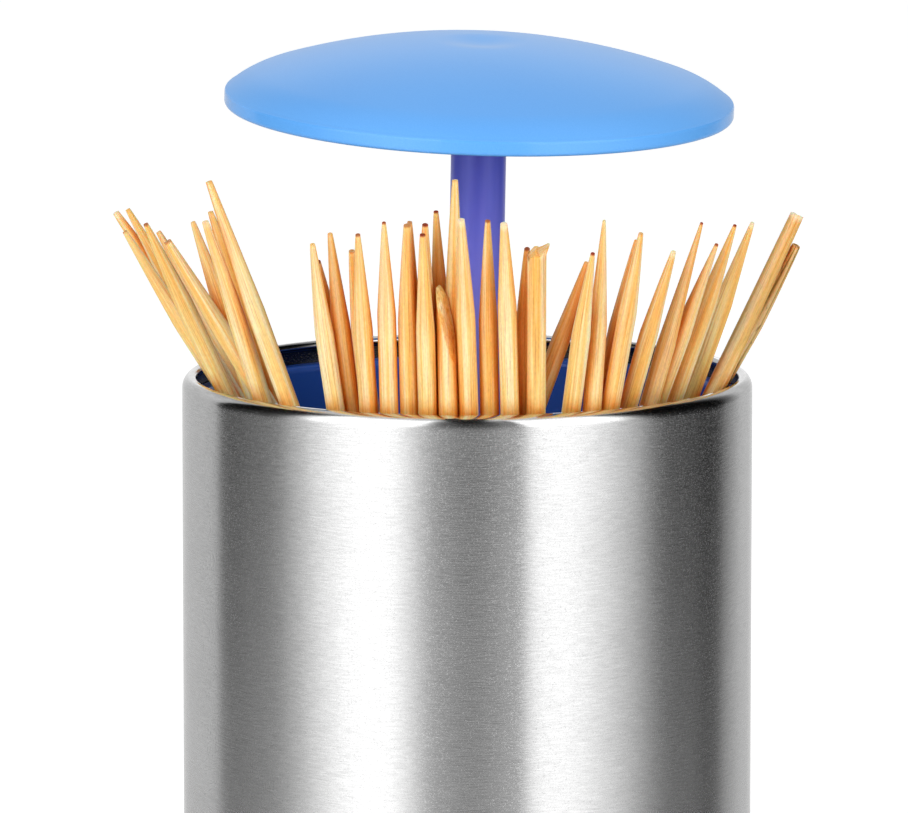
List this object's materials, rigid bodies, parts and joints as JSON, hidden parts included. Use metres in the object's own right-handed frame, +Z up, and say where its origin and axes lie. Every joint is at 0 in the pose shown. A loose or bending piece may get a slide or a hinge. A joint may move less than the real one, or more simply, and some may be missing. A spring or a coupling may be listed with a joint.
{
  "type": "toothpick dispenser",
  "caption": "Round steel toothpick dispenser with a domed blue lid on a pull-up stem that lifts a tray and fans the picks out over the rim.",
  "frame": {"origin": "centre of the foot pad's underside, on the surface that the dispenser stands on", "axes": "+Z up along the tube's axis; the picks fan out towards -Y, which is the front"},
  "size_m": [0.0656, 0.0601, 0.1082],
  "materials": {
    "steel": "brushed round the tube",
    "liner_plastic": "satin, dark blue",
    "pad_rubber": "matt black",
    "stem_plastic": "smooth, violet-blue, slightly see-through",
    "lid_plastic": "satin, sky blue",
    "bamboo": "bare split bamboo"
  },
  "bodies": {
    "housing": {"outer_shell": "steel", "inner_liner": "liner_plastic", "base_plug": "liner_plastic", "foot_pad": "pad_rubber"},
    "carrier": {"pick_carrier": "liner_plastic", "hub_cap": "liner_plastic", "brake_ring": "pad_rubber"},
    "plunger": {"stem": "stem_plastic", "lid": "lid_plastic"},
    "toothpick_01": {"toothpick_01": "bamboo"},
    "toothpick_02": {"toothpick_02": "bamboo"},
    "toothpick_03": {"toothpick_03": "bamboo"},
    "toothpick_04": {"toothpick_04": "bamboo"},
    "toothpick_05": {"toothpick_05": "bamboo"},
    "toothpick_06": {"toothpick_06": "bamboo"},
    "toothpick_07": {"toothpick_07": "bamboo"},
    "toothpick_08": {"toothpick_08": "bamboo"},
    "toothpick_09": {"toothpick_09": "bamboo"},
    "toothpick_10": {"toothpick_10": "bamboo"},
    "toothpick_11": {"toothpick_11": "bamboo"},
    "toothpick_12": {"toothpick_12": "bamboo"},
    "toothpick_13": {"toothpick_13": "bamboo"},
    "toothpick_14": {"toothpick_14": "bamboo"},
    "toothpick_15": {"toothpick_15": "bamboo"},
    "toothpick_16": {"toothpick_16": "bamboo"},
    "toothpick_17": {"toothpick_17": "bamboo"},
    "toothpick_18": {"toothpick_18": "bamboo"},
    "toothpick_19": {"toothpick_19": "bamboo"},
    "toothpick_20": {"toothpick_20": "bamboo"},
    "toothpick_21": {"toothpick_21": "bamboo"},
    "toothpick_22": {"toothpick_22": "bamboo"},
    "toothpick_23": {"toothpick_23": "bamboo"},
    "toothpick_24": {"toothpick_24": "bamboo"},
    "toothpick_25": {"toothpick_25": "bamboo"},
    "toothpick_26": {"toothpick_26": "bamboo"},
    "toothpick_27": {"toothpick_27": "bamboo"},
    "toothpick_28": {"toothpick_28": "bamboo"},
    "toothpick_29": {"toothpick_29": "bamboo"},
    "toothpick_30": {"toothpick_30": "bamboo"},
    "toothpick_31": {"toothpick_31": "bamboo"},
    "toothpick_32": {"toothpick_32": "bamboo"},
    "toothpick_33": {"toothpick_33": "bamboo"},
    "toothpick_34": {"toothpick_34": "bamboo"},
    "toothpick_35": {"toothpick_35": "bamboo"},
    "toothpick_36": {"toothpick_36": "bamboo"},
    "toothpick_37": {"toothpick_37": "bamboo"},
    "toothpick_38": {"toothpick_38": "bamboo"},
    "toothpick_39": {"toothpick_39": "bamboo"},
    "toothpick_40": {"toothpick_40": "bamboo"}
  },
  "joints": [
    {"name": "lid_lift", "type": "slide", "parent": "housing", "child": "carrier", "axis": [0, 0, 1], "range_m": [-0.0278, 0]},
    {"name": "stem_lean", "type": "hinge", "parent": "carrier", "child": "plunger", "pos_m": [0, 0, 0.0367], "axis": [0.9571, 0.2897, 0], "range_deg": [-3.5, 0]},
    {"name": "toothpick_01_lean", "type": "hinge", "parent": "carrier", "child": "toothpick_01", "pos_m": [0.00296, -0.00631, 0.03474], "axis": [-0.1866, -0.9824, 0], "range_deg": [-20.13, 0]},
    {"name": "toothpick_02_lean", "type": "hinge", "parent": "carrier", "child": "toothpick_02", "pos_m": [0.00272, 0.01014, 0.03516], "axis": [0.158, -0.9874, 0], "range_deg": [-19.99, 0]},
    {"name": "toothpick_03_lean", "type": "hinge", "parent": "carrier", "child": "toothpick_03", "pos_m": [0.00046, -0.0056, 0.03457], "axis": [-0.287, -0.9579, 0], "range_deg": [-18.74, 0]},
    {"name": "toothpick_04_lean", "type": "hinge", "parent": "carrier", "child": "toothpick_04", "pos_m": [-0.00518, 0.0062, 0.03487], "axis": [0.6316, -0.7753, 0], "range_deg": [-17.56, 0]},
    {"name": "toothpick_05_lean", "type": "hinge", "parent": "carrier", "child": "toothpick_05", "pos_m": [0.00226, 0.00611, 0.03468], "axis": [0.3215, -0.9469, 0], "range_deg": [-18.64, 0]},
    {"name": "toothpick_06_lean", "type": "hinge", "parent": "carrier", "child": "toothpick_06", "pos_m": [0.00466, -0.00384, 0.03462], "axis": [0.3535, -0.9354, 0], "range_deg": [-19.14, 0]},
    {"name": "toothpick_07_lean", "type": "hinge", "parent": "carrier", "child": "toothpick_07", "pos_m": [-0.00695, 0.00395, 0.03486], "axis": [0.721, -0.6929, 0], "range_deg": [-15.07, 0]},
    {"name": "toothpick_08_lean", "type": "hinge", "parent": "carrier", "child": "toothpick_08", "pos_m": [-0.00741, -0.00196, 0.03482], "axis": [0.7447, -0.6674, 0], "range_deg": [-13.98, 0]},
    {"name": "toothpick_09_lean", "type": "hinge", "parent": "carrier", "child": "toothpick_09", "pos_m": [-0.006, 0.00059, 0.03462], "axis": [0.6713, -0.7412, 0], "range_deg": [-13.36, 0]},
    {"name": "toothpick_10_lean", "type": "hinge", "parent": "carrier", "child": "toothpick_10", "pos_m": [-0.00252, -0.01428, 0.03564], "axis": [0.2458, -0.9693, 0], "range_deg": [-11.98, 0]},
    {"name": "toothpick_11_lean", "type": "hinge", "parent": "carrier", "child": "toothpick_11", "pos_m": [-0.00685, -0.00302, 0.0348], "axis": [0.958, -0.2869, 0], "range_deg": [-14.84, 0]},
    {"name": "toothpick_12_lean", "type": "hinge", "parent": "carrier", "child": "toothpick_12", "pos_m": [-0.00334, 0.00726, 0.03486], "axis": [0.952, -0.3062, 0], "range_deg": [-19.14, 0]},
    {"name": "toothpick_13_lean", "type": "hinge", "parent": "carrier", "child": "toothpick_13", "pos_m": [-0.00635, -0.00059, 0.03467], "axis": [0.9733, -0.2297, 0], "range_deg": [-15.27, 0]},
    {"name": "toothpick_14_lean", "type": "hinge", "parent": "carrier", "child": "toothpick_14", "pos_m": [-0.00689, -0.00506, 0.03493], "axis": [0.9918, -0.1281, 0], "range_deg": [-14.06, 0]},
    {"name": "toothpick_15_lean", "type": "hinge", "parent": "carrier", "child": "toothpick_15", "pos_m": [-0.00472, -0.002, 0.03451], "axis": [0.9729, -0.2313, 0], "range_deg": [-14.81, 0]},
    {"name": "toothpick_16_lean", "type": "hinge", "parent": "carrier", "child": "toothpick_16", "pos_m": [-0.0064, -0.00768, 0.0351], "axis": [0.9985, -0.0546, 0], "range_deg": [-12.64, 0]},
    {"name": "toothpick_17_lean", "type": "hinge", "parent": "carrier", "child": "toothpick_17", "pos_m": [-0.00457, -0.00656, 0.03486], "axis": [0.9989, -0.0475, 0], "range_deg": [-13.3, 0]},
    {"name": "toothpick_18_lean", "type": "hinge", "parent": "carrier", "child": "toothpick_18", "pos_m": [-0.00489, -0.00436, 0.03469], "axis": [0.9999, -0.0161, 0], "range_deg": [-13.12, 0]},
    {"name": "toothpick_19_lean", "type": "hinge", "parent": "carrier", "child": "toothpick_19", "pos_m": [-0.00258, -0.00702, 0.0348], "axis": [0.9979, -0.0644, 0], "range_deg": [-13.63, 0]},
    {"name": "toothpick_20_lean", "type": "hinge", "parent": "carrier", "child": "toothpick_20", "pos_m": [-0.00281, -0.00483, 0.03457], "axis": [0.9988, -0.0482, 0], "range_deg": [-13.64, 0]},
    {"name": "toothpick_21_lean", "type": "hinge", "parent": "carrier", "child": "toothpick_21", "pos_m": [-0.00014, -0.00624, 0.03465], "axis": [0.9911, -0.133, 0], "range_deg": [-11.71, 0]},
    {"name": "toothpick_22_lean", "type": "hinge", "parent": "carrier", "child": "toothpick_22", "pos_m": [-0.00098, -0.01146, 0.03528], "axis": [0.998, -0.0632, 0], "range_deg": [-10.63, 0]},
    {"name": "toothpick_23_lean", "type": "hinge", "parent": "carrier", "child": "toothpick_23", "pos_m": [-0.00079, -0.00897, 0.03498], "axis": [0.9997, -0.0255, 0], "range_deg": [-10.96, 0]},
    {"name": "toothpick_24_lean", "type": "hinge", "parent": "carrier", "child": "toothpick_24", "pos_m": [0.00148, -0.00891, 0.03498], "axis": [0.9962, -0.0874, 0], "range_deg": [-12.54, 0]},
    {"name": "toothpick_25_lean", "type": "hinge", "parent": "carrier", "child": "toothpick_25", "pos_m": [0.00279, -0.00747, 0.03486], "axis": [0.9988, -0.0483, 0], "range_deg": [-12.71, 0]},
    {"name": "toothpick_26_lean", "type": "hinge", "parent": "carrier", "child": "toothpick_26", "pos_m": [0.00496, -0.00495, 0.03474], "axis": [0.9984, -0.057, 0], "range_deg": [-15.03, 0]},
    {"name": "toothpick_27_lean", "type": "hinge", "parent": "carrier", "child": "toothpick_27", "pos_m": [0.00446, -0.00217, 0.03449], "axis": [0.9996, 0.0289, 0], "range_deg": [-15.3, 0]},
    {"name": "toothpick_28_lean", "type": "hinge", "parent": "carrier", "child": "toothpick_28", "pos_m": [0.00633, -0.00303, 0.03474], "axis": [1, -0.0012, 0], "range_deg": [-15.96, 0]},
    {"name": "toothpick_29_lean", "type": "hinge", "parent": "carrier", "child": "toothpick_29", "pos_m": [0.00507, -0.00031, 0.03451], "axis": [0.9799, 0.1997, 0], "range_deg": [-17.18, 0]},
    {"name": "toothpick_30_lean", "type": "hinge", "parent": "carrier", "child": "toothpick_30", "pos_m": [-0.00678, 0.00311, 0.0348], "axis": [0.8667, 0.4989, 0], "range_deg": [-19.74, 0]},
    {"name": "toothpick_31_lean", "type": "hinge", "parent": "carrier", "child": "toothpick_31", "pos_m": [0.00925, -0.00655, 0.03526], "axis": [0.9889, 0.1484, 0], "range_deg": [-12.31, 0]},
    {"name": "toothpick_32_lean", "type": "hinge", "parent": "carrier", "child": "toothpick_32", "pos_m": [0.00681, 0.00012, 0.03472], "axis": [0.9549, 0.2968, 0], "range_deg": [-16.63, 0]},
    {"name": "toothpick_33_lean", "type": "hinge", "parent": "carrier", "child": "toothpick_33", "pos_m": [0.00517, 0.00187, 0.03456], "axis": [0.9407, 0.3392, 0], "range_deg": [-16.6, 0]},
    {"name": "toothpick_34_lean", "type": "hinge", "parent": "carrier", "child": "toothpick_34", "pos_m": [0.00491, 0.00495, 0.03474], "axis": [0.9146, 0.4044, 0], "range_deg": [-18.8, 0]},
    {"name": "toothpick_35_lean", "type": "hinge", "parent": "carrier", "child": "toothpick_35", "pos_m": [0.00684, 0.00318, 0.03481], "axis": [0.8836, 0.4682, 0], "range_deg": [-16.8, 0]},
    {"name": "toothpick_36_lean", "type": "hinge", "parent": "carrier", "child": "toothpick_36", "pos_m": [0.00478, 0.00693, 0.03491], "axis": [0.8508, 0.5255, 0], "range_deg": [-18.82, 0]},
    {"name": "toothpick_37_lean", "type": "hinge", "parent": "carrier", "child": "toothpick_37", "pos_m": [0.00681, 0.00674, 0.03505], "axis": [0.8304, 0.5571, 0], "range_deg": [-17.48, 0]},
    {"name": "toothpick_38_lean", "type": "hinge", "parent": "carrier", "child": "toothpick_38", "pos_m": [0.00889, 0.0127, 0.03576], "axis": [0.8387, 0.5446, 0], "range_deg": [-17.86, 0]},
    {"name": "toothpick_39_lean", "type": "hinge", "parent": "carrier", "child": "toothpick_39", "pos_m": [0.00418, -0.00893, 0.03508], "axis": [-0.1338, 0.991, 0], "range_deg": [-15.41, 0]},
    {"name": "toothpick_40_lean", "type": "hinge", "parent": "carrier", "child": "toothpick_40", "pos_m": [0.00324, 0.01207, 0.0354], "axis": [0.5208, 0.8537, 0], "range_deg": [-18.91, 0]}
  ],
  "couplings": [
    {"joint": "stem_lean", "follows": "lid_lift", "rad_per_m": 2.1644},
    {"joint": "toothpick_01_lean", "follows": "lid_lift", "rad_per_m": 12.609},
    {"joint": "toothpick_02_lean", "follows": "lid_lift", "rad_per_m": 12.522},
    {"joint": "toothpick_03_lean", "follows": "lid_lift", "rad_per_m": 11.733},
    {"joint": "toothpick_04_lean", "follows": "lid_lift", "rad_per_m": 10.991},
    {"joint": "toothpick_05_lean", "follows": "lid_lift", "rad_per_m": 11.67},
    {"joint": "toothpick_06_lean", "follows": "lid_lift", "rad_per_m": 11.983},
    {"joint": "toothpick_07_lean", "follows": "lid_lift", "rad_per_m": 9.4322},
    {"joint": "toothpick_08_lean", "follows": "lid_lift", "rad_per_m": 8.7469},
    {"joint": "toothpick_09_lean", "follows": "lid_lift", "rad_per_m": 8.3565},
    {"joint": "toothpick_10_lean", "follows": "lid_lift", "rad_per_m": 7.4885},
    {"joint": "toothpick_11_lean", "follows": "lid_lift", "rad_per_m": 9.2852},
    {"joint": "toothpick_12_lean", "follows": "lid_lift", "rad_per_m": 11.988},
    {"joint": "toothpick_13_lean", "follows": "lid_lift", "rad_per_m": 9.5573},
    {"joint": "toothpick_14_lean", "follows": "lid_lift", "rad_per_m": 8.7966},
    {"joint": "toothpick_15_lean", "follows": "lid_lift", "rad_per_m": 9.2675},
    {"joint": "toothpick_16_lean", "follows": "lid_lift", "rad_per_m": 7.9014},
    {"joint": "toothpick_17_lean", "follows": "lid_lift", "rad_per_m": 8.3174},
    {"joint": "toothpick_18_lean", "follows": "lid_lift", "rad_per_m": 8.2042},
    {"joint": "toothpick_19_lean", "follows": "lid_lift", "rad_per_m": 8.5243},
    {"joint": "toothpick_20_lean", "follows": "lid_lift", "rad_per_m": 8.5349},
    {"joint": "toothpick_21_lean", "follows": "lid_lift", "rad_per_m": 7.323},
    {"joint": "toothpick_22_lean", "follows": "lid_lift", "rad_per_m": 6.6418},
    {"joint": "toothpick_23_lean", "follows": "lid_lift", "rad_per_m": 6.8469},
    {"joint": "toothpick_24_lean", "follows": "lid_lift", "rad_per_m": 7.8393},
    {"joint": "toothpick_25_lean", "follows": "lid_lift", "rad_per_m": 7.9499},
    {"joint": "toothpick_26_lean", "follows": "lid_lift", "rad_per_m": 9.4056},
    {"joint": "toothpick_27_lean", "follows": "lid_lift", "rad_per_m": 9.572},
    {"joint": "toothpick_28_lean", "follows": "lid_lift", "rad_per_m": 9.9881},
    {"joint": "toothpick_29_lean", "follows": "lid_lift", "rad_per_m": 10.757},
    {"joint": "toothpick_30_lean", "follows": "lid_lift", "rad_per_m": 12.361},
    {"joint": "toothpick_31_lean", "follows": "lid_lift", "rad_per_m": 7.699},
    {"joint": "toothpick_32_lean", "follows": "lid_lift", "rad_per_m": 10.409},
    {"joint": "toothpick_33_lean", "follows": "lid_lift", "rad_per_m": 10.393},
    {"joint": "toothpick_34_lean", "follows": "lid_lift", "rad_per_m": 11.774},
    {"joint": "toothpick_35_lean", "follows": "lid_lift", "rad_per_m": 10.518},
    {"joint": "toothpick_36_lean", "follows": "lid_lift", "rad_per_m": 11.786},
    {"joint": "toothpick_37_lean", "follows": "lid_lift", "rad_per_m": 10.944},
    {"joint": "toothpick_38_lean", "follows": "lid_lift", "rad_per_m": 11.18},
    {"joint": "toothpick_39_lean", "follows": "lid_lift", "rad_per_m": 9.6454},
    {"joint": "toothpick_40_lean", "follows": "lid_lift", "rad_per_m": 11.843}
  ]
}
